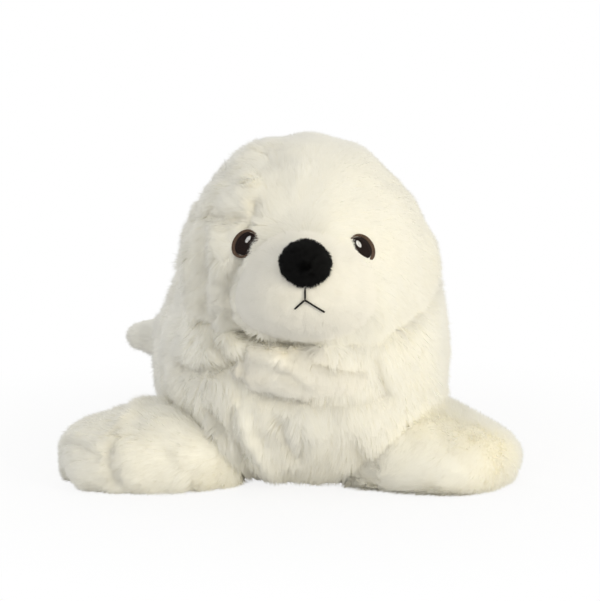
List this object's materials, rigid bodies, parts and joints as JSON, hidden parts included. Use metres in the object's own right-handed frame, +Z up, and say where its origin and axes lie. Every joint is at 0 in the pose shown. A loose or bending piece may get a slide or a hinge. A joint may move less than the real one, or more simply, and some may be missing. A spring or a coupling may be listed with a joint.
{
  "type": "plush seal",
  "caption": "Stuffed seal pup toy in white pile fabric, lying on its belly with head raised, embroidered eyes and mouth, black nose.",
  "frame": {"origin": "the flat of the belly where the toy rests, below the shoulders' rear", "axes": "+Z up, -Y towards the seal's face, +X towards the seal's left"},
  "size_m": [0.232, 0.2825, 0.1733],
  "materials": {
    "long_pile": "long soft tousled white pile",
    "short_pile": "short smooth white pile",
    "nose_pile": "short fuzzy black pile",
    "mouth_thread": "black embroidery thread",
    "brown_thread": "brown embroidery thread in satin stitch",
    "dark_thread": "dark brown embroidery thread in satin stitch",
    "white_thread": "white embroidery thread in satin stitch"
  },
  "bodies": {
    "root": {"body": "long_pile", "head": "long_pile", "muzzle": "short_pile", "chin_fold": "short_pile", "nose": "nose_pile", "eye_rim_right": "brown_thread", "eye_rim_left": "brown_thread", "eye_pupil_right": "dark_thread", "eye_pupil_left": "dark_thread", "eye_glint_right": "white_thread", "eye_glint_left": "white_thread", "mouth_stem": "mouth_thread", "mouth_right": "mouth_thread", "mouth_left": "mouth_thread", "fore_flipper_right": "long_pile", "fore_flipper_left": "long_pile", "hind_flipper_right": "long_pile", "hind_flipper_left": "long_pile"}
  },
  "joints": []
}
